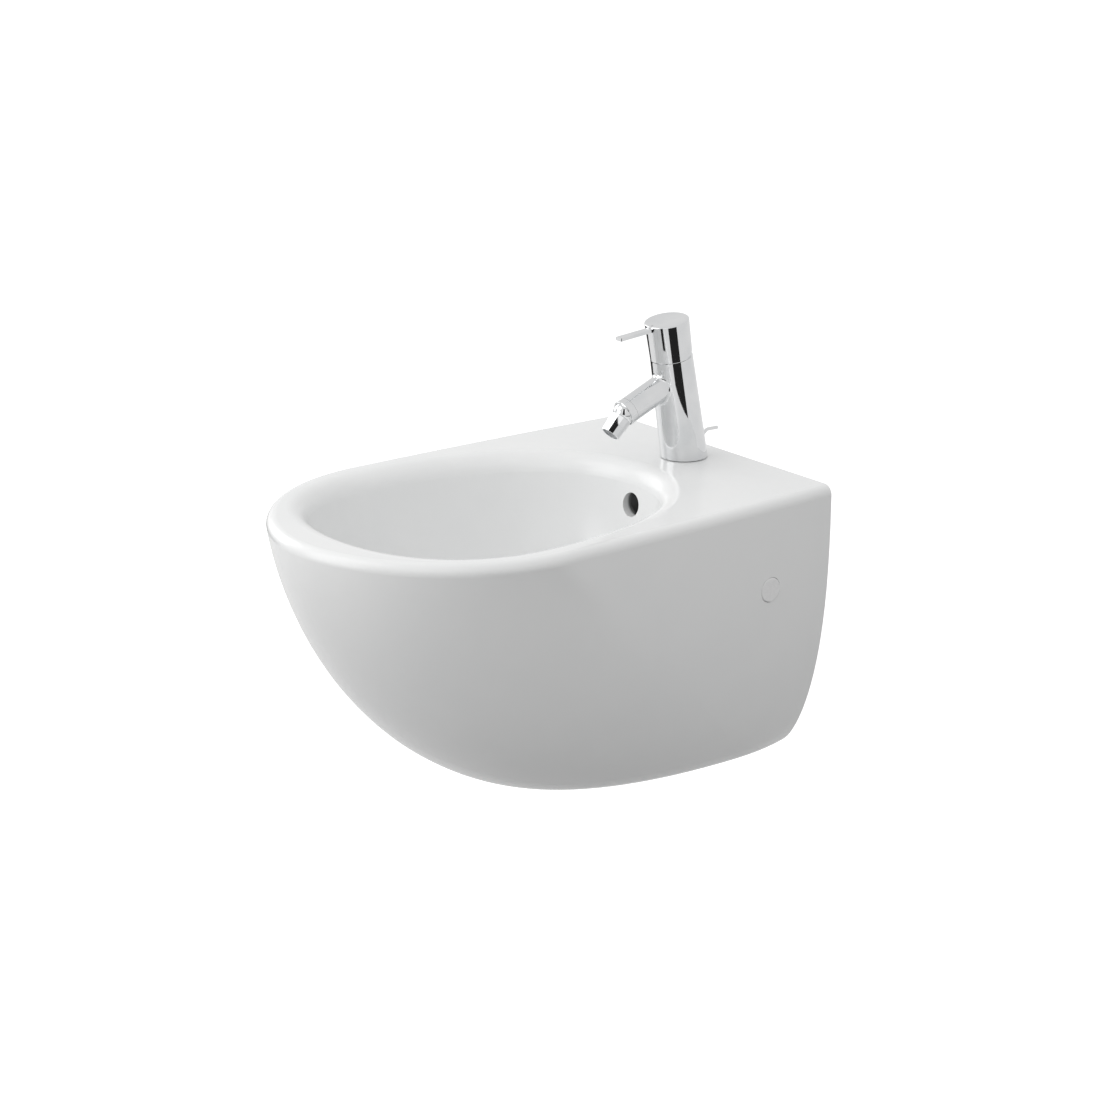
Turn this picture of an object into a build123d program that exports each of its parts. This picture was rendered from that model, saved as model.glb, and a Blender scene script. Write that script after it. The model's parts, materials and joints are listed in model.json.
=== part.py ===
from build123d import *
import math
import os

# Wall hung bidet with a single lever mixer and a pop-up waste, in millimetres.
# The wall is the plane Y = 0, the bowl reaches towards -Y and +Z is up.
# The origin lies midway between the two wall studs. A depth is measured down from the rim.

# Ceramic, overall
rim_width = 370.0
projection = 530.0
body_height = 295.0
rim_above_studs = 92.0
rear_narrowing = 11.0
underside_width = 229.0
underside_projection = 285.0
rim_edge_radius = 10.0
bowl_lip_radius = 20.0
wall = 10.0
deck_thickness = 14.0

# How late and how round the sides and the nose turn under
side_turn = (2.64, 1.52)
nose_turn = (1.615, 1.652)
straight_at_rim = 349.0
straight_at_underside = 70.0
nose_shoulder = (0.605, 0.669)
nose_tip = (0.442, 0.666)
longest_straight = 0.75

# Bowl
side_ledge = 37.0
front_ledge = 52.0
bowl_rear = 114.5
bowl_widest = 345.0
bowl_depth = 150.0
bowl_turn = (2.2, 1.7)
bowl_fullness = 0.62
circle_fullness = 0.5523
floor_radius = 38.0
drain_reach = 240.0
drain_hole_radius = 23.0
drain_boss_radius = 36.0
drain_boss_depth = bowl_depth + 26.0

# Overflow
overflow_depth = 39.5
overflow_radius = 12.5
chamber_width = 28.0
chamber_rear = bowl_rear - 22.5
chamber_front = bowl_rear - 7.5
chamber_top = overflow_depth - 20.5
chamber_bottom = overflow_depth + 16.5
chamber_wall = 8.0
channel_radius = 6.0
channel_wall = 6.0
# The channel starts this far ahead of the chamber's rear and above its floor
channel_start = (12.0, 8.0)
# It bends at these shares of the bowl's depth, this far behind the bowl
channel_bends = (0.59, 0.88)
channel_behind_bowl = 20.0
# It then turns forward at a point this far behind the drain and below the bowl
channel_turn = (72.0, 10.0)

# Opening in the underside, for the trap
hatch_width = 160.0
hatch_rear = 30.0
hatch_front_land = 21.0
hatch_corner = 20.0

# Wall fixing
stud_spacing = 180.0
stud_hole_radius = 6.1
stud_hole_length = 70.0
block_radius = 15.0
block_length = 100.0
block_chamfer = 2.0
side_screw_reach = 83.0
side_screw_radius = 4.0
screw_end_inset = 2.0
screw_hole_past_end = 4.0
screw_head_radius = 6.5
screw_head_height = 5.0
socket_radius = 3.0
socket_depth = 3.5
boss_radius = 15.0
boss_gap = 4.0
head_seat_inset = 28.0
head_bore_radius = 9.0
bush_wall = 1.4
bush_flange_radius = 8.5
bush_flange_thickness = 2.0
cap_radius = 12.6
cap_recess_depth = 6.4
cap_edge_round = 1.5
cap_proud = 0.8
cap_skirt_length = 10.0
cap_skirt_wall = 1.5

# Mixer column, along its own leaning axis
tap_reach = 47.0
tap_hole_radius = 17.5
gasket_thickness = 0.8
gasket_radius = 23.0
lean = 9.7
column_base_radius = 24.3
column_top_radius = 22.1
# The leaning column is made this much too long and trimmed level
base_trim = 8.0
column_height = 109.5
cartridge_bore_radius = 18.25
cartridge_bore_depth = 29.0
waterway_radius = 3.0
waterway_spacing = 16.0
pipes_behind_axis = 3.0

# Spout and nozzle
spout_height = 85.0
spout_drop = 22.0
spout_length = 65.5
spout_root_round = 4.0
spout_bore_radius = 6.0
spout_bore_start = 9.0
spigot_length = 2.0
ball_radius = 12.2
nozzle_bore_radius = ball_radius - 0.6
nozzle_bore_depth = ball_radius - 3.2
spigot_radius = nozzle_bore_radius + 1.1
spout_radius = spigot_radius + 0.7
ball_beyond_spout = 4.5
ball_cut = ball_radius - 2.2
collar_radius = spout_radius + 0.4
collar_band = 4.0
collar_beyond_ball = 2.0
collar_edge_round = 0.8
nozzle_tilt = 23.0
barrel_start = ball_radius - 4.9
barrel_radius = ball_radius - 1.0
barrel_middle = barrel_start + 9.2
barrel_middle_radius = barrel_radius - 0.2
barrel_step = 0.3
nozzle_length = barrel_middle + 10.5
mouth_radius = barrel_radius - 1.0
barrel_sides = 12
nozzle_bore = 6.0
aerator_radius = mouth_radius - 1.8
aerator_thickness = 5.0
aerator_recess = 1.5
aerator_centre_hole = 1.0
aerator_hole_radius = 0.75
aerator_rings = ((2.9, 6), (5.2, 12))
seat_height = nozzle_bore_depth - 1.0
seat_bore_radius = 7.0

# Handle
handle_gap = 0.6
handle_base_radius = 22.0
handle_radius = 23.1
handle_height = 39.5
handle_edge_round = 1.2
handle_pivot_above_column = 5.0
handle_lift = 18.0
relief_start = 2.0
relief_margin = 0.6
dome_radius = 20.6
dome_thickness = 2.2
dome_mouth_radius = 12.5
dome_gap = 0.35
well_depth = 0.01
blade_width = 9.0
blade_thickness = 3.4
blade_reach = 41.0
blade_corner = 1.2
blade_rise = 5.3
blade_below_top = 1.9
index_radius = 1.3
index_reach = 19.5
index_recess = 0.6
index_height = 0.75

# Cartridge
housing_radius = cartridge_bore_radius - 0.75
housing_inner_radius = housing_radius - 2.3
cartridge_base_height = 5.0
disc_height = 4.0
fixed_disc_radius = housing_inner_radius - 0.2
moving_disc_radius = 9.0
moving_disc_offset = 3.0
mixing_hollow = (8.0, 7.0, 1.2)
mixing_hollow_ahead = 2.0
pocket_depth = 2.0
pocket_play = 0.6
port_radius = 2.6
# Two inlet ports side by side and one outlet port in front, in the column's frame
port_places = ((-6.5, 3.0), (6.5, 3.0), (0.0, -8.0))
port_groove_width = 2.0
port_groove_depth = 1.4
housing_height = 12.0
housing_top = 2.0
mixing_collar_radius = 11.0
mixing_collar_flange = 14.0
mixing_collar_above = 6.0
flange_height = 1.4
spindle_side = 6.0
spindle_head = 8.0
spindle_above_column = 34.0
spindle_foot_gap = 0.4
spindle_neck_gap = 1.5
pivot_pin_radius = 1.5
pin_inset = 0.8
nut_height = 5.0
nut_inner_radius = 13.0
nut_notches = 6
nut_notch = (4.0, 3.0, 4.0)
dome_spigot_length = 5.5
dome_spigot_wall = 1.4
grub_radius = 2.5
grub_length = 8.0
grub_socket_radius = 1.4
grub_socket_depth = 3.0
grub_above_column = 30.0

# Under the deck
deck_stud_ahead = 10.5
deck_stud_radius = 4.0
deck_stud_above = 16.0
deck_stud_depth = 52.0
deck_stud_chamfer = 0.6
washer_radius = 27.0
rubber_washer_thickness = 3.0
rubber_washer_bore = 17.2
plate_thickness = 3.0
plate_slot_width = 28.4
plate_slot_ahead = 3.5
deck_nut_flats = 13.0
deck_nut_height = 10.0
pipe_radius = 5.0
pipe_bore_radius = 4.0
pipe_above = 13.5
pipe_straight_depth = 34.0
pipe_spread = 60.0
pipe_spread_depth = 72.0
pipe_end_depth = 130.0
pipe_bend = 20.0
seal_height = 7.0
seal_section = 1.6

# Lift rod, clamp and strap
rod_radius = 1.8
rod_behind_axis = 14.0
rod_bottom_depth = 95.0
# Heights above the rim, and distances behind the rod's upright part
rod_bend_height = 8.0
rod_hook_height = 23.5
rod_hook_start = 16.5
rod_hook_end = 31.0
rod_hook_droop = 0.5
rod_bend = 7.0
rod_travel = 21.0
rod_slot_width = 4.4
rod_slot_bottom = 3.0
rod_slot_top = 40.0
clamp_side = 10.0
clamp_height = 14.0
clamp_top_depth = 75.0
clamp_screw_radius = 2.0
clamp_screw_proud = 3.0
clamp_screw_head_radius = 3.5
clamp_screw_head_height = 2.5
clamp_hole_depth = 9.0
strap_width = 12.0
strap_thickness = 1.5
strap_hole_radius = 4.2
strap_hole_pitch = 14.0
strap_holes = 5
strap_end_margin = 10.0

# Waste
tail_radius = 16.0
flange_radius = 31.5
flange_thickness = 2.5
flange_edge_round = 1.6
seal_thickness = 1.0
seal_inside_flange = 1.5
seal_hole_gap = 0.5
flange_tube_radius = 20.7
flange_bore_radius = 18.0
flange_tube_end = bowl_depth + 47.0
window_radius = 4.5
window_depth = bowl_depth + 13.0
window_count = 6
drain_gasket_thickness = 4.0
drain_gasket_radius = 30.0
drain_sleeve_radius = 25.0
drain_flange_height = 5.0
drain_sleeve_end = bowl_depth + 50.0
drain_sleeve_stop = 2.0
drain_lower_radius = tail_radius + 5.0
drain_lower_bore = tail_radius + 0.8
drain_lower_end = bowl_depth + 76.0
drain_spigot_radius = tail_radius + 3.5
drain_spigot_end = bowl_depth + 90.0
lever_depth = bowl_depth + 60.0
lever_ball_radius = 6.0
lever_ball_reach = 30.0
lever_radius = 2.5
lever_front = 31.0
lever_rear = 98.0
lever_tail = 9.0
port_radius_outer = 12.0
port_end = 38.0
port_window_radius = 4.4
pivot_nut_radius = 14.5
pivot_nut_skirt = 9.0
pivot_nut_wall = 3.6
pivot_nut_hole = 4.9
pivot_seal_start = 2.5
stopper_radius = 19.5
stopper_height = 4.0
stopper_edge_round = 2.8
stopper_neck_radius = 15.0
stopper_seal_radius = 17.6
stopper_seal_height = 2.6
stopper_foot_height = 5.5
stopper_foot_step = 1.0
stopper_stem_radius = 4.0
stopper_stem_round = 2.5
stopper_stem_gap = 0.5
stopper_fin_reach = 17.3
stopper_fin_thickness = 2.0
stopper_fin_end = bowl_depth + 39.0
tail_wall = 1.3
# The tail's upper end is drawn in to this radius where the joint holds it
tail_neck_radius = tail_radius - 0.2
tail_shoulder_gap = 0.5
tail_top_depth = drain_lower_end + 0.5
tail_end_depth = bowl_depth + 122.0
tail_nut_radius = drain_spigot_radius + 4.5
tail_nut_top = bowl_depth + 79.0
tail_nut_end = bowl_depth + 96.0
tail_nut_lip = 3.0
tail_nut_flutes = 8
flute_radius = 3.0
flute_depth = 1.5

# Clearances
thread_gap = 0.05
bearing_gap = 0.05
slip_gap = 0.2
rest_gap = 0.3
socket_gap = 0.15
end_gap = 0.5
groove_gap = 0.1
# Cuts and joined pieces reach this far past the face that they meet
overlap = 1.0

# Derived places
rim_level = rim_above_studs
mixer_level = rim_level + gasket_thickness
bowl_width = rim_width - 2 * side_ledge
bowl_front = projection - front_ledge
pipe_reach = tap_reach - pipes_behind_axis
deck_stud_reach = tap_reach + deck_stud_ahead
rod_reach = tap_reach - rod_behind_axis
cartridge_floor = column_height - cartridge_bore_depth
spindle_end = column_height + spindle_above_column
grub_height = column_height + grub_above_column
seam_to_pivot = column_height + handle_pivot_above_column
handle_bottom = column_height + handle_gap
handle_top = handle_bottom + handle_height
base_top = cartridge_floor + cartridge_base_height
fixed_disc_top = base_top + disc_height
moving_disc_top = fixed_disc_top + disc_height
housing_end = base_top + housing_height
lever_rest_angle = math.degrees(math.asin(rod_travel / 2 / lever_rear))
port_bore_radius = lever_ball_radius + bearing_gap
stopper_travel = 2 * lever_front * math.sin(math.radians(lever_rest_angle))
screw_x = stud_spacing / 2


def level(depth):
    """Height of a point that lies this far below the rim."""
    return rim_level - depth


def turn(share, shape):
    """Falls from 1 to 0 as share goes from 0 to 1, with a rounded turn."""
    late, full = shape
    return (1 - share**late) ** (1 / full)


def mix(share, ends):
    return ends[0] + (ends[1] - ends[0]) * share


def stations(count):
    """Shares of the depth, closer together near the rim and near the underside."""
    return [(1 - math.cos(math.pi * i / count)) / 2 for i in range(count + 1)]


def disc(radius, height, bore=0.0):
    """Upright disc or ring that stands on the XY plane."""
    solid = Cylinder(radius, height, align=(Align.CENTER, Align.CENTER, Align.MIN))
    if bore:
        solid -= Cylinder(bore, height, align=(Align.CENTER, Align.CENTER, Align.MIN))
    return solid


def bar(radius, start, end):
    """Round bar between two points."""
    axis = Vector(*end) - Vector(*start)
    return Plane(origin=start, z_dir=axis) * disc(radius, axis.length)


def ring_at(depth, reach, height, radius, bore=0.0):
    """Ring with its top at a depth, on a vertical axis this far from the wall."""
    return Pos(0, -reach, level(depth) - height) * disc(radius, height, bore)


def side_half_width(depth, reach):
    """Half the outside width at a depth and a distance from the wall."""
    share = depth / body_height
    half = mix(1 - turn(share, side_turn), (rim_width / 2, underside_width / 2))
    straight = mix(share, (straight_at_rim, straight_at_underside))
    return half - rear_narrowing * ((straight - reach) / (straight + overlap)) ** 2


def shell_section(share, inset, height):
    """Outline of the ceramic at one level, with its back just past the wall's face."""
    half = mix(1 - turn(share, side_turn), (rim_width / 2, underside_width / 2)) - inset
    nose = mix(1 - turn(share, nose_turn), (projection, underside_projection)) - inset
    straight = min(mix(share, (straight_at_rim, straight_at_underside)), longest_straight * nose)
    shoulder = straight + mix(share, nose_shoulder) * (nose - straight)
    tip = mix(share, nose_tip) * half
    rear = half - rear_narrowing
    z = level(share * height)
    back_y = overlap
    middle = (back_y - straight) / 2
    side = Bezier((rear, back_y, z), (half, middle, z), (half, -straight, z))
    right_nose = Bezier((half, -straight, z), (half, -shoulder, z), (tip, -nose, z), (0, -nose, z))
    left_nose = Bezier((0, -nose, z), (-tip, -nose, z), (-half, -shoulder, z), (-half, -straight, z))
    other_side = Bezier((-half, -straight, z), (-half, middle, z), (-rear, back_y, z))
    back = Line((-rear, back_y, z), (rear, back_y, z))
    return Wire([side, right_nose, left_nose, other_side, back])


def shell(inset, height):
    return Solid.make_loft([shell_section(share, inset, height) for share in stations(12)])


def bowl_section(share, grow, depth):
    """Outline of the bowl at one level: four smooth quarters round its widest line."""
    size = turn(share, bowl_turn)
    half = mix(size, (floor_radius, bowl_width / 2)) + grow
    front = mix(size, (drain_reach + floor_radius, bowl_front)) + grow
    rear = mix(size, (drain_reach - floor_radius, bowl_rear)) - grow
    middle = mix(size, (drain_reach, bowl_widest))
    full = mix(size, (circle_fullness, bowl_fullness))
    z = level(share * depth)

    def quarter(side, end):
        shoulder = middle + full * (end - middle)
        x = side * half
        return [(x, -middle, z), (x, -shoulder, z), (full * x, -end, z), (0, -end, z)]

    quarters = [quarter(1, front), quarter(-1, front)[::-1], quarter(-1, rear), quarter(1, rear)[::-1]]
    return Wire([Bezier(*points) for points in quarters])


def bowl_back(depth):
    """Distance of the bowl's rear from the wall at a depth."""
    return mix(turn(depth / bowl_depth, bowl_turn), (drain_reach - floor_radius, bowl_rear))


def bowl(grow, depth):
    return Solid.make_loft([bowl_section(share, grow, depth) for share in stations(10)])


def top_face(solid):
    return solid.faces().filter_by(Axis.Z).sort_by(Axis.Z)[-1]


def overflow_route():
    """Points of the overflow channel, from its chamber down to the drain hole."""
    route = [(chamber_rear + channel_start[0], chamber_bottom - channel_start[1])]
    for share in channel_bends:
        depth = share * bowl_depth
        route.append((bowl_back(depth) - channel_behind_bowl, depth))
    route.append((drain_reach - channel_turn[0], bowl_depth + channel_turn[1]))
    route.append((drain_reach - drain_hole_radius + 2 * overlap, window_depth))
    return [(0, -reach, level(depth)) for reach, depth in route]


def chain(points, radius):
    """Round bars joined by balls along a route."""
    solid = Pos(*points[0]) * Sphere(radius)
    for start, end in zip(points, points[1:]):
        solid += bar(radius, start, end)
        solid += Pos(*end) * Sphere(radius)
    return solid


def overflow_chamber(margin):
    depth_top = chamber_top - margin
    height = chamber_bottom - chamber_top + 2 * margin
    length = chamber_front - chamber_rear + margin
    box = Box(chamber_width + 2 * margin, length, height, align=(Align.CENTER, Align.MIN, Align.MAX))
    return Pos(0, -chamber_front, level(depth_top)) * box


def side_bore(side, radius, inner_x, outer_x):
    """Bar across the side of the ceramic on the side screw's axis."""
    return bar(radius, (side * inner_x, -side_screw_reach, 0), (side * outer_x, -side_screw_reach, 0))


def cap_surface():
    return side_half_width(rim_above_studs, side_screw_reach)


def ceramic_body():
    body = shell(0, body_height) - bowl(0, bowl_depth)
    body = fillet(list(top_face(body).inner_wires()[0].edges()), bowl_lip_radius)
    rim = [edge for edge in top_face(body).outer_wire().edges() if edge.center().Y < 0]
    body = fillet(rim, rim_edge_radius)
    above_deck = Pos(0, -projection / 2, level(deck_thickness)) * Box(
        2 * rim_width, 2 * projection, body_height, align=(Align.CENTER, Align.CENTER, Align.MIN)
    )
    body -= shell(wall, body_height - wall) - bowl(wall, bowl_depth + wall) - above_deck
    body += ring_at(bowl_depth, drain_reach, drain_boss_depth - bowl_depth, drain_boss_radius)
    body += overflow_chamber(chamber_wall)
    body += chain(overflow_route(), channel_radius + channel_wall)
    for side in (-1, 1):
        body += side_bore(side, boss_radius, screw_x + block_radius + boss_gap, cap_surface() - wall / 2)
    body -= overflow_chamber(0)
    body -= chain(overflow_route(), channel_radius)
    overflow_start = (0, -bowl_rear - bowl_lip_radius, level(overflow_depth))
    body -= bar(overflow_radius, overflow_start, (0, -chamber_rear - 4, level(overflow_depth)))
    body -= ring_at(bowl_depth, drain_reach, body_height, drain_hole_radius)
    body -= ring_at(0, tap_reach, deck_thickness, tap_hole_radius)
    for side in (-1, 1):
        body -= side_bore(side, bush_bore_radius(), screw_x, cap_surface())
        body -= side_bore(side, head_bore_radius, head_seat_x(), cap_surface())
        recess_floor = cap_surface() - cap_recess_depth
        body -= side_bore(side, cap_radius + rest_gap + groove_gap, recess_floor, cap_surface() + wall)
    hatch_front = underside_projection - hatch_front_land
    hatch = Rectangle(hatch_width, hatch_front - hatch_rear)
    hatch = extrude(fillet(hatch.vertices(), hatch_corner), 2 * wall)
    body -= Pos(0, -(hatch_front + hatch_rear) / 2, level(body_height) - wall / 2) * hatch
    behind_wall = Box(2 * rim_width, wall, 2 * body_height, align=(Align.CENTER, Align.MIN, Align.CENTER))
    return body - behind_wall


def bush_bore_radius():
    return side_screw_radius + bush_wall + slip_gap


def head_seat_x():
    return cap_surface() - head_seat_inset


def side_cap(side):
    """Round push-in cover with a rounded edge and a skirt."""
    face = cap_recess_depth - rest_gap
    cap = disc(cap_radius, face + cap_proud)
    cap = fillet(cap.edges().sort_by(Axis.Z)[-1], cap_edge_round)
    skirt_radius = head_bore_radius - slip_gap
    skirt = disc(skirt_radius, cap_skirt_length + overlap, skirt_radius - cap_skirt_wall)
    cap += Pos(0, 0, -cap_skirt_length) * skirt
    return Plane(origin=(side * (cap_surface() - face), -side_screw_reach, 0), z_dir=(side, 0, 0)) * cap


def fixing_block(side):
    """Sleeve that screws on a wall stud and takes the side screw."""
    x = side * screw_x
    block = bar(block_radius, (x, 0, 0), (x, -block_length, 0))
    block = chamfer(block.edges().filter_by(GeomType.CIRCLE).sort_by(Axis.Y)[0], block_chamfer)
    block -= bar(stud_hole_radius, (x, 0, 0), (x, -stud_hole_length, 0))
    inner = screw_x - screw_end_inset - screw_hole_past_end
    block -= side_bore(side, side_screw_radius + thread_gap, inner, screw_x + block_radius + overlap)
    return block


def screw_bush(side):
    seat = head_seat_x()
    outer = side_screw_radius + bush_wall
    end = screw_x + block_radius + boss_gap + overlap
    face = seat + bush_flange_thickness
    bush = side_bore(side, bush_flange_radius, seat, face)
    bush += side_bore(side, outer, end, seat + overlap)
    return bush - side_bore(side, side_screw_radius + slip_gap / 2, end - overlap, face + overlap)


def fixing_screw(side):
    seat = head_seat_x() + bush_flange_thickness
    end = screw_x - screw_end_inset
    screw = side_bore(side, screw_head_radius, seat, seat + screw_head_height)
    screw += side_bore(side, side_screw_radius, end, seat + overlap)
    top = seat + screw_head_height
    socket = extrude(RegularPolygon(socket_radius, 6), socket_depth)
    facing = Plane(origin=(side * top, -side_screw_reach, 0), z_dir=(-side, 0, 0))
    return screw - facing * socket


# The column's own frame: origin on the gasket, Z up the leaning axis, Y to the back
lean_sin = math.sin(math.radians(lean))
lean_cos = math.cos(math.radians(lean))
column = Plane(origin=(0, -tap_reach, mixer_level), x_dir=(1, 0, 0), z_dir=(0, -lean_sin, lean_cos))

# The spout's frame: origin where its axis meets the column's, Z towards the nozzle
spout_sin = math.sin(math.radians(spout_drop))
spout_cos = math.cos(math.radians(spout_drop))
spout_root = (0, -tap_reach - spout_height * lean_sin / lean_cos, mixer_level + spout_height)
spout = Plane(origin=spout_root, x_dir=(1, 0, 0), z_dir=(0, -spout_cos, -spout_sin))

# The nozzle's frame: origin at the ball's centre, Z out of the mouth
ball_distance = spout_length + ball_beyond_spout
ball_centre = (
    0,
    spout_root[1] - ball_distance * spout_cos,
    spout_root[2] - ball_distance * spout_sin,
)
mouth_angle = math.radians(spout_drop + nozzle_tilt)
mouth_direction = (0, -math.cos(mouth_angle), -math.sin(mouth_angle))
nozzle = Plane(origin=ball_centre, x_dir=(1, 0, 0), z_dir=mouth_direction)


def in_column(solid, along, across=0.0, back=0.0):
    """Places a solid at a height along the column's axis."""
    return column * (Pos(across, back, along) * solid)


def mixer_body():
    """Leaning column with its spout, bored for the cartridge, the water and the rod."""
    slope = (column_base_radius - column_top_radius) / column_height
    blank = Cone(
        column_base_radius + slope * base_trim,
        column_top_radius,
        column_height + base_trim,
        align=(Align.CENTER, Align.CENTER, Align.MIN),
    )
    body = in_column(blank, -base_trim)
    body += spout * disc(spout_radius, spout_length - spigot_length)
    body = fillet(body.edges().filter_by(GeomType.BSPLINE), spout_root_round)
    body += spout * disc(spigot_radius, spout_length)
    side = 4 * column_base_radius
    under = Box(side, side, side, align=(Align.CENTER, Align.CENTER, Align.MAX))
    body -= Pos(0, -tap_reach, mixer_level) * under
    body -= in_column(disc(cartridge_bore_radius, column_height), cartridge_floor)
    body -= spout * Pos(0, 0, spout_bore_start) * disc(spout_bore_radius, spout_length)
    body -= spout * Pos(0, 0, spout_length - nozzle_bore_depth) * disc(nozzle_bore_radius, spout_length)
    for side in (-1, 1):
        x = side * waterway_spacing / 2
        waterway = disc(waterway_radius, cartridge_floor)
        body -= in_column(waterway, pipe_above - 2 * overlap, x, pipes_behind_axis)
        socket_top = rim_level + pipe_above + end_gap
        body -= bar(pipe_radius + socket_gap, (x, -pipe_reach, rim_level), (x, -pipe_reach, socket_top))
        groove_top = -seal_height - seal_section - groove_gap
        groove_radius = pipe_radius + seal_section + groove_gap
        body -= Pos(x, 0, 0) * ring_at(groove_top, pipe_reach, seal_section + 2 * groove_gap, groove_radius)
    stud_hole = deck_stud_above + end_gap
    body -= ring_at(-stud_hole, deck_stud_reach, stud_hole, deck_stud_radius + thread_gap)
    guide = rod_slot_bottom + overlap
    body -= ring_at(-guide, rod_reach, guide, rod_radius + bearing_gap)
    slot = Box(
        rod_slot_width,
        column_base_radius,
        rod_slot_top - rod_slot_bottom,
        align=(Align.CENTER, Align.MIN, Align.MIN),
    )
    body -= Pos(0, -rod_reach - rod_slot_width / 2, rim_level + rod_slot_bottom) * slot
    return body


def base_gasket():
    return Pos(0, -tap_reach, rim_level) * disc(gasket_radius, gasket_thickness, tap_hole_radius)


def deck_washer():
    return ring_at(deck_thickness, tap_reach, rubber_washer_thickness, washer_radius, rubber_washer_bore)


def horseshoe_washer():
    top = deck_thickness + rubber_washer_thickness
    plate = ring_at(top, tap_reach, plate_thickness, washer_radius)
    align = (Align.CENTER, Align.MIN, Align.MAX)
    slot = Box(plate_slot_width, 2 * washer_radius, plate_thickness, align=align)
    plate -= Pos(0, -tap_reach - plate_slot_ahead, level(top)) * slot
    return plate - ring_at(top, deck_stud_reach, plate_thickness, deck_stud_radius + slip_gap)


def deck_stud():
    ends = (rim_level + deck_stud_above, level(deck_stud_depth))
    stud = bar(deck_stud_radius, (0, -deck_stud_reach, ends[1]), (0, -deck_stud_reach, ends[0]))
    return chamfer(stud.edges().filter_by(GeomType.CIRCLE), deck_stud_chamfer)


def deck_nut():
    top = deck_thickness + rubber_washer_thickness + plate_thickness
    hexagon = RegularPolygon(deck_nut_flats / 2, 6, major_radius=False)
    nut = Pos(0, -deck_stud_reach, level(top) - deck_nut_height) * extrude(hexagon, deck_nut_height)
    return nut - ring_at(top, deck_stud_reach, deck_nut_height, deck_stud_radius + thread_gap)


def inlet_pipe(side):
    """Copper tail: straight down through the tap hole, then out to the side and down."""
    x = side * waterway_spacing / 2
    out = side * pipe_spread / 2
    points = [
        (x, -pipe_reach, rim_level + pipe_above),
        (x, -pipe_reach, level(pipe_straight_depth)),
        (out, -pipe_reach, level(pipe_spread_depth)),
        (out, -pipe_reach, level(pipe_end_depth)),
    ]
    path = FilletPolyline(*points, radius=pipe_bend)
    start = Plane(origin=points[0], z_dir=(0, 0, -1))
    return sweep(start * Circle(pipe_radius), path) - sweep(start * Circle(pipe_bore_radius), path)


def inlet_seals():
    outer = pipe_radius + seal_section
    ring = ring_at(-seal_height - seal_section, pipe_reach, seal_section, outer, pipe_radius + thread_gap)
    return [Pos(side * waterway_spacing / 2, 0, 0) * ring for side in (-1, 1)]


def at_ports(solid):
    """Copies of a solid, one at each port."""
    return [Pos(x, y, 0) * solid for x, y in port_places]


def cartridge_base():
    solid = disc(housing_radius, cartridge_base_height)
    for hole in at_ports(disc(port_radius, cartridge_base_height)):
        solid -= hole
    for groove in at_ports(disc(port_radius + port_groove_width, port_groove_depth)):
        solid -= groove
    return in_column(solid, cartridge_floor)


def cartridge_seals():
    outer = port_radius + port_groove_width - groove_gap
    ring = disc(outer, port_groove_depth - groove_gap, port_radius + groove_gap)
    return [in_column(seal, cartridge_floor + groove_gap / 2) for seal in at_ports(ring)]


def fixed_disc():
    solid = disc(fixed_disc_radius, disc_height)
    for hole in at_ports(disc(port_radius, disc_height)):
        solid -= hole
    return in_column(solid, base_top)


def moving_disc():
    """Upper ceramic disc, with a mixing hollow below and the spindle's pocket on top."""
    solid = disc(moving_disc_radius, disc_height)
    hollow = Box(*mixing_hollow, align=(Align.CENTER, Align.CENTER, Align.MIN))
    solid -= Pos(0, -mixing_hollow_ahead, 0) * hollow
    pocket = Box(
        spindle_side + 2 * rest_gap,
        spindle_side + 2 * rest_gap + pocket_play,
        pocket_depth,
        align=(Align.CENTER, Align.CENTER, Align.MAX),
    )
    solid -= Pos(0, -moving_disc_offset, disc_height) * pocket
    return in_column(solid, fixed_disc_top, 0, moving_disc_offset)


def cartridge_housing():
    solid = disc(housing_radius, housing_height)
    solid -= disc(housing_inner_radius, housing_height - housing_top)
    solid -= disc(mixing_collar_radius + bearing_gap, housing_height)
    return in_column(solid, base_top)


def across_pivot(radius, half):
    """Bar across the column on the lever's tilt axis."""
    return in_column(bar(radius, (-half, 0, 0), (half, 0, 0)), seam_to_pivot)


def mixing_collar():
    """Turns for the temperature and carries the spindle's pivot between two lugs."""
    bottom = housing_end - housing_top - flange_height - slip_gap
    top = seam_to_pivot + mixing_collar_above
    solid = disc(mixing_collar_flange, flange_height)
    solid += disc(mixing_collar_radius, top - bottom)
    travel = (seam_to_pivot - bottom) * math.sin(math.radians(handle_lift))
    reach = spindle_side / 2 + travel + rest_gap
    slot = Box(
        spindle_side + 2 * slip_gap,
        2 * reach,
        2 * (top - bottom),
        align=(Align.CENTER, Align.CENTER, Align.CENTER),
    )
    solid -= slot
    hole = across_pivot(pivot_pin_radius + thread_gap, 2 * mixing_collar_radius)
    return in_column(solid, bottom) - hole


def pivot_pin():
    return across_pivot(pivot_pin_radius, mixing_collar_radius - pin_inset)


def spindle():
    """Flat lever stem: foot in the moving disc, square head in the handle."""
    foot = moving_disc_top - pocket_depth + spindle_foot_gap
    neck = seam_to_pivot + mixing_collar_above + spindle_neck_gap
    align = (Align.CENTER, Align.CENTER, Align.MIN)
    flat = Box(spindle_side, spindle_side, neck + overlap - foot, align=align)
    head = Box(spindle_head, spindle_head, spindle_end - neck, align=align)
    solid = column * (Pos(0, 0, foot) * flat + Pos(0, 0, neck) * head)
    return solid - across_pivot(pivot_pin_radius + bearing_gap, spindle_side)


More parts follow.
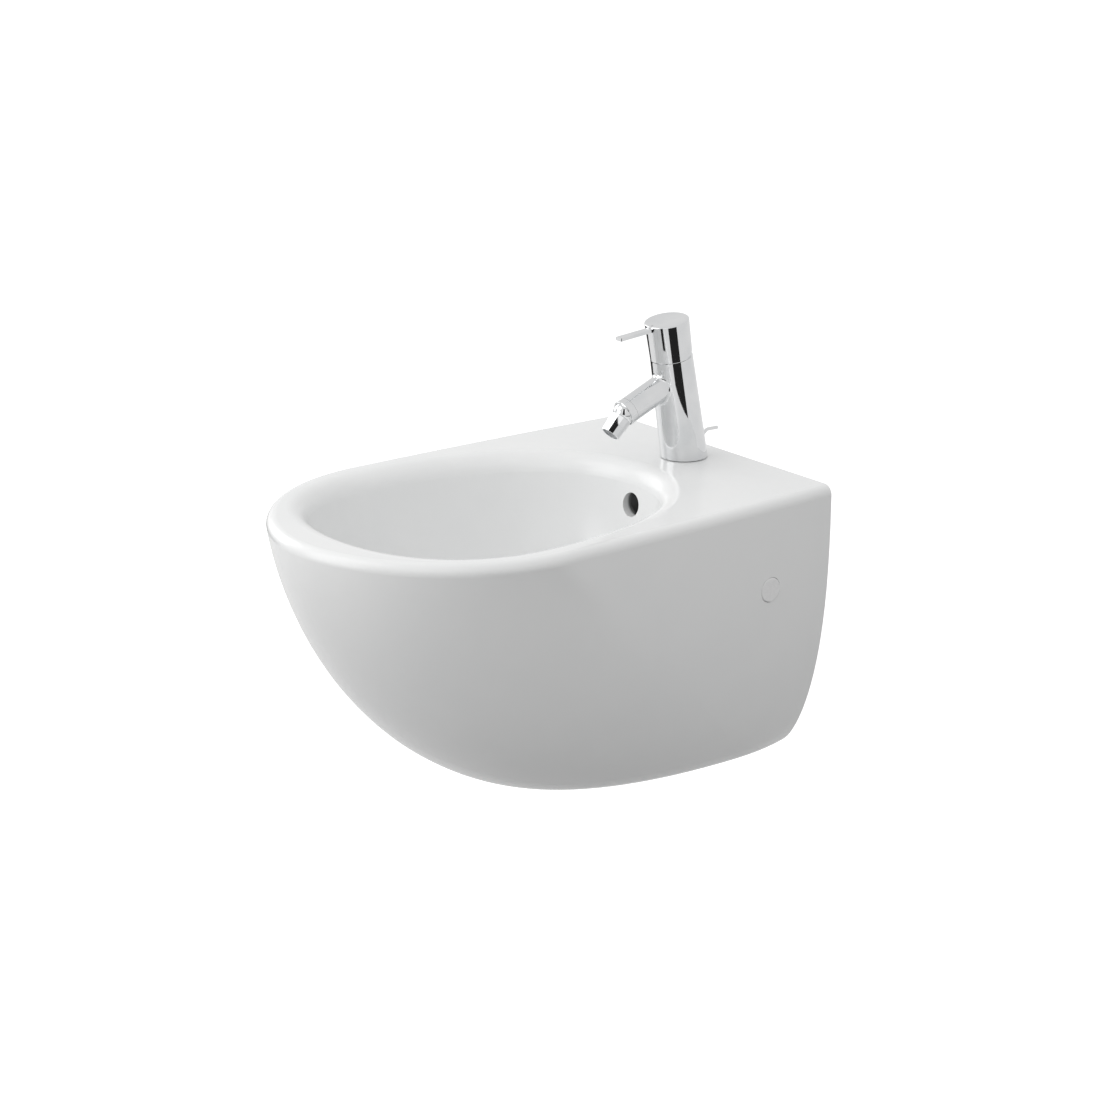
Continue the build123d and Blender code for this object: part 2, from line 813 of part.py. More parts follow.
def cartridge_nut():
    solid = disc(cartridge_bore_radius - thread_gap, nut_height, nut_inner_radius)
    for i in range(nut_notches):
        notch = Pos(nut_inner_radius, 0, nut_height - nut_notch[2] / 2) * Box(*nut_notch)
        solid -= Rot(0, 0, 360 * i / nut_notches) * notch
    return in_column(solid, housing_end)


def dome_cover():
    """Chrome dome over the cartridge, which the handle slides over as it tilts."""
    ball = Sphere(dome_radius) - Sphere(dome_radius - dome_thickness)
    keep = disc(2 * dome_radius, 2 * dome_radius)
    dome = ball & (Pos(0, 0, -handle_pivot_above_column) * keep)
    dome -= disc(dome_mouth_radius, 2 * dome_radius)
    outer = cartridge_bore_radius - slip_gap / 2
    spigot = disc(outer, dome_spigot_length + dome_spigot_wall / 4, outer - dome_spigot_wall)
    dome += Pos(0, 0, -handle_pivot_above_column - dome_spigot_length) * spigot
    return in_column(dome, seam_to_pivot)


def lever_handle():
    """Cap with its flat lever. It is hollowed as a ball round the tilt pivot."""
    align = (Align.CENTER, Align.CENTER, Align.MIN)
    cap = Cone(handle_base_radius, handle_radius, handle_height, align=align)
    cap = fillet(cap.edges().filter_by(GeomType.CIRCLE).sort_by(Axis.Z)[-1], handle_edge_round)
    top = handle_height - blade_below_top
    front_drop = math.tan(math.radians(blade_rise))
    blade_length = handle_radius + blade_reach
    blade = Box(blade_width, blade_length, blade_thickness, align=(Align.CENTER, Align.MAX, Align.MAX))
    blade = fillet(blade.edges().filter_by(Axis.Z).sort_by(Axis.Y)[:2], blade_corner)
    blade_at_axis = top - handle_radius * front_drop
    cap += Pos(0, 0, blade_at_axis) * Rot(-blade_rise, 0, 0) * blade
    pivot = seam_to_pivot - handle_bottom
    cap -= Pos(0, 0, pivot) * Sphere(dome_radius + dome_gap)
    well = math.sqrt((dome_radius + dome_gap) ** 2 - pivot**2)
    cap -= disc(well, well_depth)
    side = 4 * handle_radius
    relief = Box(side, side, side, align=(Align.CENTER, Align.MIN, Align.MAX))
    cap -= Pos(0, relief_start, 0) * Rot(handle_lift + relief_margin, 0, 0) * relief
    socket = spindle_head + 2 * thread_gap
    cap -= Box(socket, socket, spindle_end + end_gap - handle_bottom, align=align)
    grub_z = grub_height - handle_bottom
    cap -= bar(grub_radius + thread_gap, (0, 0, grub_z), (0, 2 * handle_radius, grub_z))
    recess = disc(index_radius + thread_gap, 2 * index_recess)
    cap -= Pos(0, -index_reach, handle_height - index_recess) * recess
    return in_column(cap, handle_bottom)


def index_dot():
    return in_column(disc(index_radius, index_height), handle_top - index_recess, 0, -index_reach)


def handle_screw():
    start = spindle_head / 2 + thread_gap
    screw = bar(grub_radius, (0, start, 0), (0, start + grub_length, 0))
    facing = Plane(origin=(0, start + grub_length, 0), z_dir=(0, -1, 0))
    screw -= facing * extrude(RegularPolygon(grub_socket_radius, 6), grub_socket_depth)
    return in_column(screw, grub_height)


def spout_collar():
    """Ring with a raised front band, screwed on the spout to keep the ball in."""
    start = spout_length - spigot_length + slip_gap
    end = ball_distance + collar_beyond_ball
    band = Pos(0, 0, end - collar_band) * disc(collar_radius, collar_band)
    band = fillet(band.edges().filter_by(GeomType.CIRCLE).sort_by(Axis.Z)[-1], collar_edge_round)
    collar = Pos(0, 0, start) * disc(spout_radius, end - collar_band + overlap - start) + band
    collar -= Pos(0, 0, start) * disc(spigot_radius + thread_gap, spout_length + groove_gap - start)
    collar -= Pos(0, 0, ball_distance) * Sphere(ball_radius + bearing_gap)
    return spout * collar


def nozzle_seat():
    """Friction ring that the ball leans on, free to turn in the spout's bore."""
    bottom = spout_length - nozzle_bore_depth + slip_gap
    ring = Pos(0, 0, bottom) * disc(nozzle_bore_radius - bearing_gap, seat_height, seat_bore_radius)
    return spout * (ring - Pos(0, 0, ball_distance) * Sphere(ball_radius + bearing_gap))


def polygon_cone(start, start_radius, end, end_radius):
    first = Plane.XY.offset(start) * RegularPolygon(start_radius, barrel_sides)
    last = Plane.XY.offset(end) * RegularPolygon(end_radius, barrel_sides)
    return loft([first, last])


def spray_nozzle():
    """Ball with a two-step faceted barrel."""
    keep = Pos(0, 0, -ball_cut) * disc(2 * ball_radius, ball_cut + barrel_start + overlap)
    body = Sphere(ball_radius) & keep
    body += polygon_cone(barrel_start, barrel_radius, barrel_middle, barrel_middle_radius)
    body += polygon_cone(barrel_middle, barrel_middle_radius - barrel_step, nozzle_length, mouth_radius)
    body -= Pos(0, 0, -2 * ball_radius) * disc(nozzle_bore, 4 * ball_radius + nozzle_length)
    recess = aerator_thickness + aerator_recess
    body -= Pos(0, 0, nozzle_length - recess) * disc(aerator_radius + thread_gap, recess + overlap)
    return nozzle * body


def aerator():
    """Insert with two rings of holes round a centre hole."""
    insert = disc(aerator_radius, aerator_thickness, aerator_centre_hole)
    hole = disc(aerator_hole_radius, aerator_thickness)
    for ring_radius, count in aerator_rings:
        for i in range(count):
            insert -= Rot(0, 0, 360 * i / count) * Pos(ring_radius, 0, 0) * hole
    return nozzle * (Pos(0, 0, nozzle_length - aerator_recess - aerator_thickness) * insert)


def lift_rod():
    """Pull rod: upright through the mixer's base, then bent back towards the wall."""
    hook_level = rim_level + rod_hook_height
    points = [
        (0, -rod_reach, level(rod_bottom_depth)),
        (0, -rod_reach, rim_level + rod_bend_height),
        (0, -rod_reach + rod_hook_start, hook_level),
        (0, -rod_reach + rod_hook_end, hook_level - rod_hook_droop),
    ]
    path = FilletPolyline(*points, radius=rod_bend)
    return sweep(Plane(origin=points[0], z_dir=(0, 0, 1)) * Circle(rod_radius), path)


def clamp_middle():
    return level(clamp_top_depth + clamp_height / 2)


def rod_hole(end_depth):
    """Hole for the rod, from the rim's level down to a depth."""
    return bar(rod_radius + thread_gap, (0, -rod_reach, rim_level), (0, -rod_reach, level(end_depth)))


def clamp_bar(radius, start, end):
    """Bar across the clamp on the clamp screws' axis."""
    return bar(radius, (start, -rod_reach, clamp_middle()), (end, -rod_reach, clamp_middle()))


def rod_clamp():
    block = Pos(0, -rod_reach, clamp_middle()) * Box(clamp_side, clamp_side, clamp_height)
    block -= rod_hole(clamp_top_depth + 2 * clamp_height)
    return block - clamp_bar(clamp_screw_radius + thread_gap, 0, clamp_hole_depth)


def clamp_screws():
    """Screw that grips the rod in the clamp."""
    end = clamp_side / 2 + clamp_screw_proud
    screw = clamp_bar(clamp_screw_radius, rod_radius + thread_gap, end)
    return screw + clamp_bar(clamp_screw_head_radius, end - clamp_screw_head_height, end)


def strap_hole_point():
    """Where the ball lever passes the strap at rest."""
    drop = rod_travel / 2
    reach = drain_reach - lever_ball_reach - math.sqrt(lever_rear**2 - drop**2)
    return (0, -reach, level(lever_depth + drop))


def linkage_strap():
    """Perforated strap from the clamp down to the ball lever."""
    bottom = strap_hole_point()
    top = (0, -rod_reach, level(clamp_top_depth + clamp_height))
    run = Vector(*bottom) - Vector(*top)
    frame = Plane(origin=top, x_dir=(1, 0, 0), z_dir=run)
    length = run.length + strap_end_margin
    strap = Box(strap_width, strap_thickness, length, align=(Align.CENTER, Align.CENTER, Align.MIN))
    for i in range(strap_holes):
        along = run.length - i * strap_hole_pitch
        strap -= bar(strap_hole_radius, (0, -strap_width, along), (0, strap_width, along))
    strap = frame * strap
    align = (Align.CENTER, Align.CENTER, Align.MAX)
    pad = Pos(*top) * Box(strap_width, clamp_side, strap_thickness, align=align)
    pad -= rod_hole(clamp_top_depth + 2 * clamp_height)
    strap -= rod_hole(rod_bottom_depth + overlap)
    align = (Align.CENTER, Align.CENTER, Align.MIN)
    above = Pos(*top) * Box(4 * strap_width, 4 * strap_width, 2 * clamp_height, align=align)
    return (strap - above) + pad


def pivot_point():
    return (0, -drain_reach + lever_ball_reach, level(lever_depth))


def ball_lever():
    """Lever through its pivot ball: front arm in the waste, rear arm to the strap."""
    towards_strap = Vector(*strap_hole_point()) - Vector(*pivot_point())
    frame = Plane(origin=pivot_point(), x_dir=(1, 0, 0), z_dir=towards_strap)
    lever = bar(lever_radius, (0, 0, -lever_front), (0, 0, lever_rear + lever_tail))
    lever += Sphere(lever_ball_radius)
    lever += Pos(0, 0, -lever_front) * Sphere(lever_radius)
    return frame * lever


def port_bar(radius, start, end):
    """Bar along Y on the pivot's axis, at distances behind the drain's axis."""
    z = level(lever_depth)
    return bar(radius, (0, start - drain_reach, z), (0, end - drain_reach, z))


def drain_body():
    """Lower half of the waste with the pivot's port and the tail's socket."""
    top = drain_boss_depth + drain_gasket_thickness
    body = ring_at(top, drain_reach, drain_flange_height, drain_gasket_radius)
    body += ring_at(top, drain_reach, drain_sleeve_end - top, drain_sleeve_radius)
    body += ring_at(drain_sleeve_end, drain_reach, drain_lower_end - drain_sleeve_end, drain_lower_radius)
    body += ring_at(drain_lower_end, drain_reach, drain_spigot_end - drain_lower_end, drain_spigot_radius)
    body += port_bar(port_radius_outer, 0, port_end)
    socket_height = drain_sleeve_end - drain_sleeve_stop - top
    body -= ring_at(top, drain_reach, socket_height, flange_tube_radius + thread_gap)
    body -= ring_at(top, drain_reach, drain_spigot_end - top, drain_lower_bore - tail_wall)
    body -= ring_at(top, drain_reach, drain_lower_end - top, drain_lower_bore)
    socket_height = drain_spigot_end - drain_lower_end
    body -= ring_at(drain_lower_end, drain_reach, socket_height, tail_neck_radius + groove_gap)
    body -= port_bar(port_bore_radius, lever_ball_reach - port_bore_radius, port_end + overlap)
    return body - port_bar(port_window_radius, 0, port_end)


def pivot_nut():
    seat = port_end + groove_gap
    nut = port_bar(pivot_nut_radius, port_end - pivot_nut_skirt, seat + pivot_nut_wall)
    nut -= port_bar(port_radius_outer + thread_gap, port_end - pivot_nut_skirt - overlap, seat)
    return nut - port_bar(pivot_nut_hole, 0, seat + 2 * pivot_nut_wall)


def pivot_seal():
    start = lever_ball_reach + pivot_seal_start
    ring = port_bar(port_bore_radius - groove_gap, start, port_end - groove_gap)
    ring -= port_bar(pivot_nut_hole, 0, port_end + overlap)
    return ring - Pos(*pivot_point()) * Sphere(port_bore_radius)


def drain_flange():
    """Flanged tube with overflow windows."""
    top = bowl_depth - seal_thickness - flange_thickness
    flange = ring_at(top, drain_reach, flange_thickness, flange_radius)
    flange = fillet(flange.edges().filter_by(GeomType.CIRCLE).sort_by(Axis.Z)[-1], flange_edge_round)
    flange += ring_at(top, drain_reach, flange_tube_end - top, flange_tube_radius)
    flange -= ring_at(top, drain_reach, flange_tube_end - top, flange_bore_radius)
    centre = Pos(0, -drain_reach, level(window_depth))
    for i in range(window_count):
        window = bar(window_radius, (0, 0, 0), (0, 1.5 * flange_tube_radius, 0))
        flange -= centre * Rot(0, 0, 360 * i / window_count) * window
    return flange


def flange_seal():
    top = bowl_depth - seal_thickness
    outer = flange_radius - seal_inside_flange
    return ring_at(top, drain_reach, seal_thickness, outer, drain_hole_radius + seal_hole_gap)


def drain_gasket():
    bore = flange_tube_radius + rest_gap
    return ring_at(drain_boss_depth, drain_reach, drain_gasket_thickness, drain_gasket_radius, bore)


def stopper_underside():
    """Depth of the plug's underside at rest, lifted by its travel."""
    return bowl_depth - seal_thickness - flange_thickness - rest_gap - stopper_travel


def stopper():
    """Pop-up plug: low dome, neck, guide fins and a stem that stands on the lever."""
    under = stopper_underside()
    plug = ring_at(under - stopper_height, drain_reach, stopper_height, stopper_radius)
    plug = fillet(plug.edges().filter_by(GeomType.CIRCLE).sort_by(Axis.Z)[-1], stopper_edge_round)
    groove = stopper_seal_height + rest_gap
    plug += ring_at(under, drain_reach, groove, stopper_neck_radius)
    foot_radius = stopper_seal_radius - stopper_foot_step
    plug += ring_at(under + groove, drain_reach, stopper_foot_height - groove, foot_radius)
    lever_top = lever_depth - lever_front * math.sin(math.radians(lever_rest_angle)) - lever_radius
    stem = ring_at(under, drain_reach, lever_top - stopper_stem_gap - under, stopper_stem_radius)
    plug += fillet(stem.edges().sort_by(Axis.Z)[0], stopper_stem_round)
    fin_start = under + stopper_foot_height - overlap / 2
    fins = Box(2 * stopper_fin_reach, stopper_fin_thickness, stopper_fin_end - fin_start)
    middle = level((stopper_fin_end + fin_start) / 2)
    for angle in (45, 135):
        plug += Pos(0, -drain_reach, middle) * Rot(0, 0, angle) * fins
    return plug


def stopper_seal():
    under = stopper_underside()
    bore = stopper_neck_radius + thread_gap
    return ring_at(under + groove_gap, drain_reach, stopper_seal_height, stopper_seal_radius, bore)


def tail_pipe():
    """Outlet pipe, with a slightly narrower end for the joint."""
    shoulder = tail_nut_end + tail_shoulder_gap
    pipe = ring_at(tail_top_depth, drain_reach, tail_end_depth - tail_top_depth, tail_neck_radius)
    pipe += ring_at(shoulder, drain_reach, tail_end_depth - shoulder, tail_radius)
    bore = tail_neck_radius - tail_wall
    return pipe - ring_at(tail_top_depth, drain_reach, tail_end_depth - tail_top_depth, bore)


def tail_nut():
    height = tail_nut_end - tail_nut_top
    nut = ring_at(tail_nut_top, drain_reach, height, tail_nut_radius, tail_radius + slip_gap)
    nut -= ring_at(tail_nut_top, drain_reach, height - tail_nut_lip, drain_spigot_radius + thread_gap)
    for i in range(tail_nut_flutes):
        flute = Pos(tail_nut_radius + flute_radius - flute_depth, 0, 0) * disc(flute_radius, height)
        flute = Rot(0, 0, 360 * i / tail_nut_flutes) * flute
        nut -= Pos(0, -drain_reach, level(tail_nut_end)) * flute
    return nut


def tail_seal():
    end = tail_nut_end - tail_nut_lip
    top = drain_spigot_end + groove_gap
    outer = drain_spigot_radius - slip_gap
    return ring_at(top, drain_reach, end - top, outer, tail_neck_radius + thread_gap)


def write_node(name, shape):
    """Writes one node, from one solid or a list of identical ones."""
    solids = []
    for item in shape if isinstance(shape, list) else [shape]:
        solids += item.solids()
    print(name, len(solids), round(sum(solid.volume for solid in solids)))
    node = solids[0] if len(solids) == 1 else Compound(children=solids)
    export_step(node, f"parts/{name}.step")


os.makedirs("parts", exist_ok=True)
for label, side in (("left", -1), ("right", 1)):
    write_node(f"{label}_side_cap", side_cap(side))
    write_node(f"{label}_fixing_block", fixing_block(side))
    write_node(f"{label}_fixing_screw", fixing_screw(side))
    write_node(f"{label}_screw_bush", screw_bush(side))
for label, side in (("hot", -1), ("cold", 1)):
    write_node(f"{label}_inlet_pipe", inlet_pipe(side))
for piece in (
    ceramic_body,
    mixer_body,
    base_gasket,
    deck_washer,
    horseshoe_washer,
    deck_stud,
    deck_nut,
    inlet_seals,
    cartridge_base,
    cartridge_seals,
    fixed_disc,
    moving_disc,
    cartridge_housing,
    mixing_collar,
    pivot_pin,
    spindle,
    cartridge_nut,
    dome_cover,
    lever_handle,
    index_dot,
    handle_screw,
    spout_collar,
    nozzle_seat,
    spray_nozzle,
    aerator,
    lift_rod,
    rod_clamp,
    clamp_screws,
    linkage_strap,
    ball_lever,
    drain_body,
    pivot_nut,
    pivot_seal,
    drain_flange,
    flange_seal,
    drain_gasket,
    stopper,
    stopper_seal,
    tail_pipe,
    tail_nut,
    tail_seal,
):
    write_node(piece.__name__, piece())
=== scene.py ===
import json
import math

import bpy
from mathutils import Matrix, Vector


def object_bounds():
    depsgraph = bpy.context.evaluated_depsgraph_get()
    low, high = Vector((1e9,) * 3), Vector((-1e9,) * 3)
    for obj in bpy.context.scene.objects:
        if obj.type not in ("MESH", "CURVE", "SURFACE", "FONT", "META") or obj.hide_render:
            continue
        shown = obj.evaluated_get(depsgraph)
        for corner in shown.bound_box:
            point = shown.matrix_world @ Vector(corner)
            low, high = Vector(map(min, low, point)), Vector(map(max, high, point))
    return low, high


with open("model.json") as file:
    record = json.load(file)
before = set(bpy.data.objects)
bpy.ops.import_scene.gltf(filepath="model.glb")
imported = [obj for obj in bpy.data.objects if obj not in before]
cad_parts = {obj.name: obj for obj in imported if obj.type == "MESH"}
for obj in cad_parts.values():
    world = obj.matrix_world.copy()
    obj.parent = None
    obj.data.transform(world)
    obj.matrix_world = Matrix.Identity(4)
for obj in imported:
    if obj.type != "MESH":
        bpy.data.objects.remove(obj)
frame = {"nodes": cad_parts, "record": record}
cad_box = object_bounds()
scene = bpy.context.scene

FLOOR_DROP = 0.16          # below the ceramic's underside, as mounted over a floor
FLOOR_HALF = 14.0          # half the floor's side
FLOOR_GREY = 0.30
FLOOR_GLOW = 0.90
CAMERA_PLACE = (2.3839, -2.0806, 0.9990)
CAMERA_AIM = (-0.0004, -0.2000, -0.0102)
CAMERA_LENS = 102.93
CAMERA_SHIFT = (-0.0160, 0.0257)
TAP_REACH = -0.060         # y of the mixer, which the cards stand round
LAMP_AIM = (0.0, -0.25, 0.0)
ROOM_LIGHT = 0.82
FLOOR_SHINE = 0.6          # share of the floor's glow that reflections see
CARD_LEVEL = -0.34         # just above the floor
CARD_SHADE = 0.02
CARD_STEPS = 12
# painted shade: dark grey put on the glaze inside the overflow channel's recess
OVERFLOW_PAINTED_SHADE = (0.17, 0.17, 0.17, 1)
EDGE_BLUR = 0.003
# box inside the overflow channel that gets the painted shade
OVERFLOW_INSIDE = ((-0.030, -0.111, 0.034), (0.030, -0.070, 0.070))


def new_material(name):
    material = bpy.data.materials.new(name)
    material.use_nodes = True
    nodes = material.node_tree.nodes
    return material, nodes, material.node_tree.links, nodes["Principled BSDF"]


def noise(nodes, links, scale, detail=3.0, roughness=0.5, stretch=(1, 1, 1)):
    """Noise over the object's own coordinates, in metres."""
    place = nodes.new("ShaderNodeTexCoord")
    mapping = nodes.new("ShaderNodeMapping")
    mapping.inputs["Scale"].default_value = stretch
    texture = nodes.new("ShaderNodeTexNoise")
    texture.inputs["Scale"].default_value = scale
    texture.inputs["Detail"].default_value = detail
    texture.inputs["Roughness"].default_value = roughness
    links.new(place.outputs["Object"], mapping.inputs["Vector"])
    links.new(mapping.outputs["Vector"], texture.inputs["Vector"])
    return texture.outputs["Fac"]


def ramp(nodes, links, source, low, high, at=(0.35, 0.65)):
    """Turns a 0 to 1 value into a colour between low and high."""
    node = nodes.new("ShaderNodeValToRGB")
    for element, colour, position in zip(node.color_ramp.elements, (low, high), at):
        element.position = position
        element.color = (*colour, 1)
    links.new(source, node.inputs["Fac"])
    return node.outputs["Color"]


def spread(nodes, links, source, low, high):
    """Turns a 0 to 1 value into a number between low and high."""
    node = nodes.new("ShaderNodeMapRange")
    node.inputs["To Min"].default_value = low
    node.inputs["To Max"].default_value = high
    links.new(source, node.inputs["Value"])
    return node.outputs["Result"]


def bump(nodes, links, source, shader, strength, distance):
    node = nodes.new("ShaderNodeBump")
    node.inputs["Strength"].default_value = strength
    node.inputs["Distance"].default_value = distance
    links.new(source, node.inputs["Height"])
    links.new(node.outputs["Normal"], shader.inputs["Normal"])


def inside_box(nodes, links, low, high, edge):
    """1 inside a box in the object's own coordinates and 0 outside it, with a soft edge."""
    place = nodes.new("ShaderNodeTexCoord")
    split = nodes.new("ShaderNodeSeparateXYZ")
    links.new(place.outputs["Object"], split.inputs["Vector"])
    result = None
    for axis in range(3):
        away = nodes.new("ShaderNodeMath")
        away.operation = "SUBTRACT"
        links.new(split.outputs[axis], away.inputs[0])
        away.inputs[1].default_value = (low[axis] + high[axis]) / 2
        size = nodes.new("ShaderNodeMath")
        size.operation = "ABSOLUTE"
        links.new(away.outputs["Value"], size.inputs[0])
        half = (high[axis] - low[axis]) / 2
        near = nodes.new("ShaderNodeMapRange")
        near.inputs["From Min"].default_value = half + edge / 2
        near.inputs["From Max"].default_value = half - edge / 2
        links.new(size.outputs["Value"], near.inputs["Value"])
        if result is None:
            result = near.outputs["Result"]
            continue
        both = nodes.new("ShaderNodeMath")
        both.operation = "MULTIPLY"
        links.new(result, both.inputs[0])
        links.new(near.outputs["Result"], both.inputs[1])
        result = both.outputs["Value"]
    return result


def glazed_china():
    """White glaze, with dark grey painted shade inside the overflow channel."""
    material, nodes, links, shader = new_material("glazed_china")
    cloud = noise(nodes, links, 7.0, 4.0)
    tone = ramp(nodes, links, cloud, (0.800, 0.806, 0.806), (0.822, 0.826, 0.824))
    # painted shade: the glaze turns dark grey inside the overflow channel's box
    painted_shade = nodes.new("ShaderNodeMix")
    painted_shade.data_type = "RGBA"
    links.new(inside_box(nodes, links, *OVERFLOW_INSIDE, EDGE_BLUR), painted_shade.inputs["Factor"])
    links.new(tone, painted_shade.inputs["A"])
    painted_shade.inputs["B"].default_value = OVERFLOW_PAINTED_SHADE
    links.new(painted_shade.outputs["Result"], shader.inputs["Base Color"])
    speckle = noise(nodes, links, 60.0, 2.0)
    links.new(spread(nodes, links, speckle, 0.20, 0.28), shader.inputs["Roughness"])
    shader.inputs["IOR"].default_value = 1.5
    shader.inputs["Coat Weight"].default_value = 0.15
    shader.inputs["Coat Roughness"].default_value = 0.12
    ripple = noise(nodes, links, 22.0, 1.0)
    bump(nodes, links, ripple, shader, 0.05, 0.002)
    return material


def polished_chrome():
    material, nodes, links, shader = new_material("polished_chrome")
    cloud = noise(nodes, links, 40.0, 3.0)
    tone = ramp(nodes, links, cloud, (0.72, 0.73, 0.74), (0.78, 0.785, 0.79))
    links.new(tone, shader.inputs["Base Color"])
    shader.inputs["Metallic"].default_value = 1.0
    wipe = noise(nodes, links, 350.0, 4.0)
    links.new(spread(nodes, links, wipe, 0.03, 0.07), shader.inputs["Roughness"])
    return material


def turned_metal(name, low, high, roughness, grain=900.0):
    material, nodes, links, shader = new_material(name)
    cloud = noise(nodes, links, grain, 4.0, stretch=(1, 1, 0.15))
    links.new(ramp(nodes, links, cloud, low, high), shader.inputs["Base Color"])
    shader.inputs["Metallic"].default_value = 1.0
    links.new(spread(nodes, links, cloud, roughness * 0.75, roughness * 1.3), shader.inputs["Roughness"])
    bump(nodes, links, cloud, shader, 0.12, 0.0002)
    return material


def moulded(name, low, high, roughness, grain=500.0, strength=0.1):
    material, nodes, links, shader = new_material(name)
    cloud = noise(nodes, links, grain, 3.0)
    links.new(ramp(nodes, links, cloud, low, high), shader.inputs["Base Color"])
    links.new(spread(nodes, links, cloud, roughness * 0.85, roughness * 1.15), shader.inputs["Roughness"])
    bump(nodes, links, cloud, shader, strength, 0.0002)
    return material


looks = {
    "china": glazed_china(),
    "chrome": polished_chrome(),
    "cap_chrome": moulded("cover_plastic", (0.80, 0.80, 0.80), (0.84, 0.84, 0.84), 0.22, 300.0, 0.02),
    "zinc": turned_metal("zinc_plated_steel", (0.48, 0.49, 0.50), (0.62, 0.63, 0.64), 0.34),
    "stainless": turned_metal("stainless_steel", (0.55, 0.55, 0.55), (0.68, 0.68, 0.68), 0.26),
    "brass": turned_metal("machined_brass", (0.62, 0.46, 0.20), (0.74, 0.58, 0.28), 0.30),
    "copper": turned_metal("drawn_copper", (0.60, 0.30, 0.18), (0.74, 0.40, 0.26), 0.28, 600.0),
    "rubber": moulded("matt_rubber", (0.018, 0.018, 0.018), (0.032, 0.032, 0.032), 0.75),
    "grey_plastic": moulded("grey_plastic", (0.30, 0.31, 0.32), (0.36, 0.37, 0.38), 0.45),
    "white_plastic": moulded("white_plastic", (0.74, 0.74, 0.73), (0.80, 0.80, 0.79), 0.32),
    "disc_ceramic": moulded("lapped_ceramic", (0.78, 0.75, 0.69), (0.84, 0.82, 0.77), 0.24),
    "index": moulded("index_inlay", (0.44, 0.44, 0.45), (0.50, 0.50, 0.51), 0.30),
}
for entry in frame["record"]["subparts"]:
    node = frame["nodes"][entry["node"]]
    node.data.materials.clear()
    node.data.materials.append(looks[entry["material_slot"]])


def point_at(obj, place, aim):
    obj.location = place
    obj.rotation_euler = (Vector(aim) - Vector(place)).to_track_quat("-Z", "Y").to_euler()


def area_light(name, place, size, power):
    """Square lamp that points at the middle of the ceramic."""
    data = bpy.data.lights.new(name, "AREA")
    data.shape = "SQUARE"
    data.size = size
    data.energy = power
    lamp = bpy.data.objects.new(name, data)
    scene.collection.objects.link(lamp)
    point_at(lamp, place, LAMP_AIM)


def place_card(name, points, faces):
    """Dark card that only shows in reflections."""
    mesh = bpy.data.meshes.new(name)
    mesh.from_pydata(points, [], faces)
    obj = bpy.data.objects.new(name, mesh)
    scene.collection.objects.link(obj)
    material, nodes, links, shader = new_material(name)
    nodes.remove(shader)
    glow = nodes.new("ShaderNodeEmission")
    glow.inputs["Color"].default_value = (CARD_SHADE, CARD_SHADE, CARD_SHADE, 1)
    links.new(glow.outputs["Emission"], nodes["Material Output"].inputs["Surface"])
    mesh.materials.append(material)
    obj.visible_camera = False
    obj.visible_diffuse = False
    obj.visible_shadow = False


def arc_card(name, turns, rings):
    """Curved card round the mixer between two rings, each a distance and a height."""
    points = []
    faces = []
    for i in range(CARD_STEPS + 1):
        turn = math.radians(turns[0] + (turns[1] - turns[0]) * i / CARD_STEPS)
        for distance, height in rings:
            points.append((distance * math.cos(turn), TAP_REACH + distance * math.sin(turn), height))
    for i in range(CARD_STEPS):
        faces.append((2 * i, 2 * i + 2, 2 * i + 3, 2 * i + 1))
    place_card(name, points, faces)


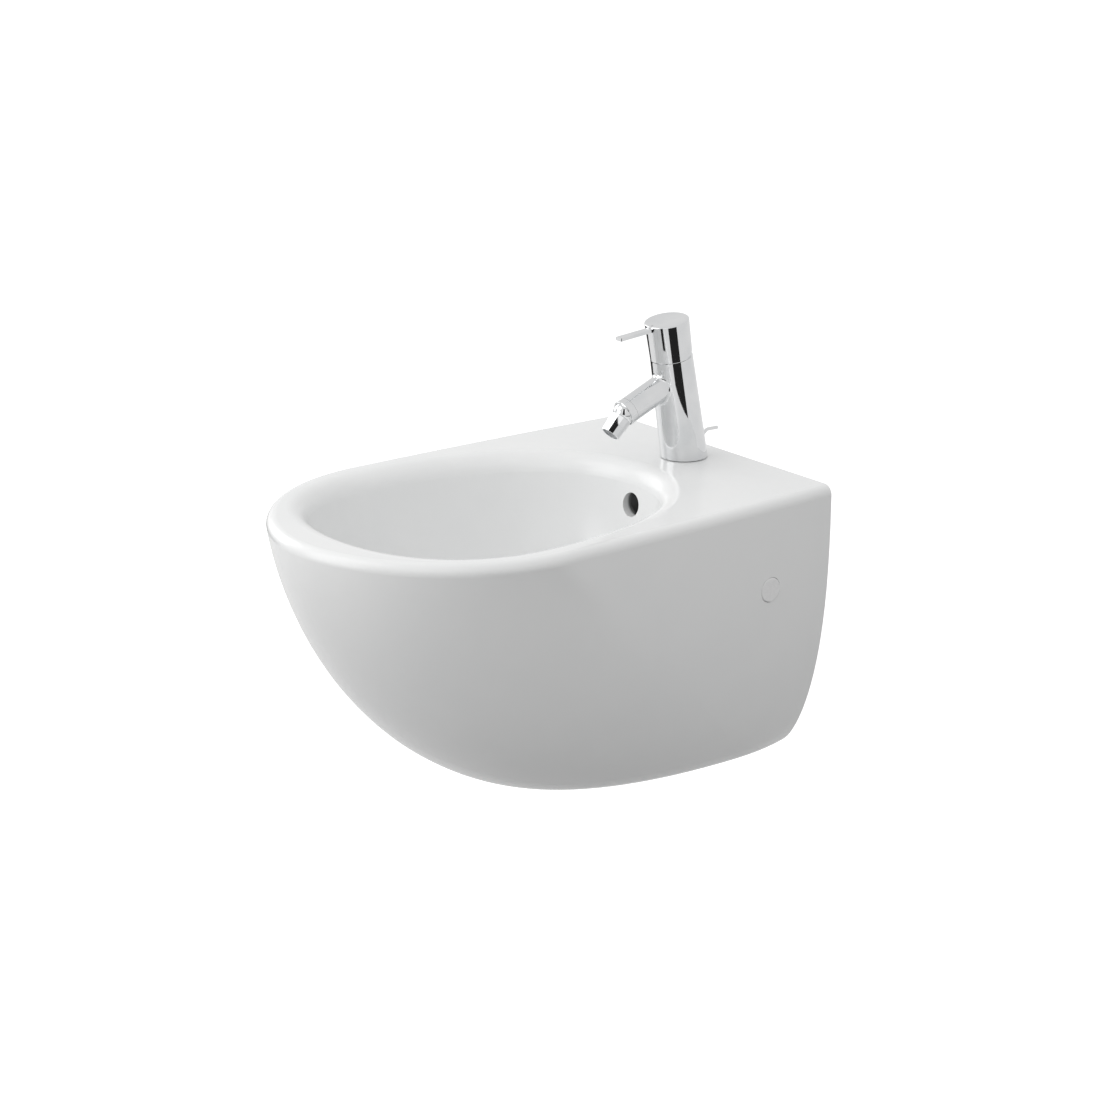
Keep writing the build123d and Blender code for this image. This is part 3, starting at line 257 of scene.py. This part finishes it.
def make_floor():
    """Pale floor: it glows for the camera and takes light and shadow like a grey one."""
    mesh = bpy.data.meshes.new("floor")
    z = cad_box[0][2] - FLOOR_DROP
    corners = [(x * FLOOR_HALF, y * FLOOR_HALF, z) for x, y in ((-1, -1), (1, -1), (1, 1), (-1, 1))]
    mesh.from_pydata(corners, [], [(0, 1, 2, 3)])
    floor = bpy.data.objects.new("floor", mesh)
    scene.collection.objects.link(floor)
    material, nodes, links, shader = new_material("floor")
    shader.inputs["Base Color"].default_value = (FLOOR_GREY, FLOOR_GREY, FLOOR_GREY, 1)
    shader.inputs["Roughness"].default_value = 0.9
    shader.inputs["Specular IOR Level"].default_value = 0.1
    path = nodes.new("ShaderNodeLightPath")
    glow = nodes.new("ShaderNodeEmission")
    shine = nodes.new("ShaderNodeMath")
    shine.operation = "MULTIPLY"
    shine.inputs[1].default_value = FLOOR_SHINE
    links.new(path.outputs["Is Glossy Ray"], shine.inputs[0])
    seen = nodes.new("ShaderNodeMath")
    seen.operation = "MAXIMUM"
    links.new(path.outputs["Is Camera Ray"], seen.inputs[0])
    links.new(shine.outputs["Value"], seen.inputs[1])
    links.new(seen.outputs["Value"], glow.inputs["Strength"])
    add = nodes.new("ShaderNodeAddShader")
    links.new(shader.outputs["BSDF"], add.inputs[0])
    links.new(glow.outputs["Emission"], add.inputs[1])
    links.new(add.outputs["Shader"], nodes["Material Output"].inputs["Surface"])
    glow.inputs["Color"].default_value = (FLOOR_GLOW, FLOOR_GLOW, FLOOR_GLOW, 1)
    mesh.materials.append(material)


def make_world():
    """White backdrop for the camera and a slightly dimmer white room for the light."""
    world = bpy.data.worlds.new("studio")
    scene.world = world
    world.use_nodes = True
    nodes = world.node_tree.nodes
    links = world.node_tree.links
    background = nodes["Background"]
    path = nodes.new("ShaderNodeLightPath")
    strength = nodes.new("ShaderNodeMapRange")
    strength.inputs["To Min"].default_value = ROOM_LIGHT
    strength.inputs["To Max"].default_value = 1.0
    links.new(path.outputs["Is Camera Ray"], strength.inputs["Value"])
    links.new(strength.outputs["Result"], background.inputs["Strength"])
    background.inputs["Color"].default_value = (1, 1, 1, 1)


make_floor()
make_world()
area_light("key", (-1.2, -2.6, 2.6), 2.4, 22.6)
area_light("front_fill", (-0.8, -3.0, 0.5), 2.0, 19.9)
area_light("left_fill", (-3.0, -0.8, 1.2), 2.0, 16.6)
area_light("right_fill", (2.0, -2.4, 1.9), 2.0, 3.8)
arc_card("dark_right", (-33, 12), ((0.80, CARD_LEVEL), (2.00, CARD_LEVEL)))
arc_card("dark_left", (163, 206), ((1.35, CARD_LEVEL), (2.60, CARD_LEVEL)))
arc_card("dark_strip", (-73, -62), ((0.13, 0.148), (0.13, 0.240)))

camera_data = bpy.data.cameras.new("camera")
camera_data.sensor_width = 36.0
camera_data.lens = CAMERA_LENS
camera_data.shift_x, camera_data.shift_y = CAMERA_SHIFT
camera_data.clip_end = 50.0
camera = bpy.data.objects.new("camera", camera_data)
scene.collection.objects.link(camera)
point_at(camera, CAMERA_PLACE, CAMERA_AIM)
scene.camera = camera
scene.view_settings.view_transform = "Standard"
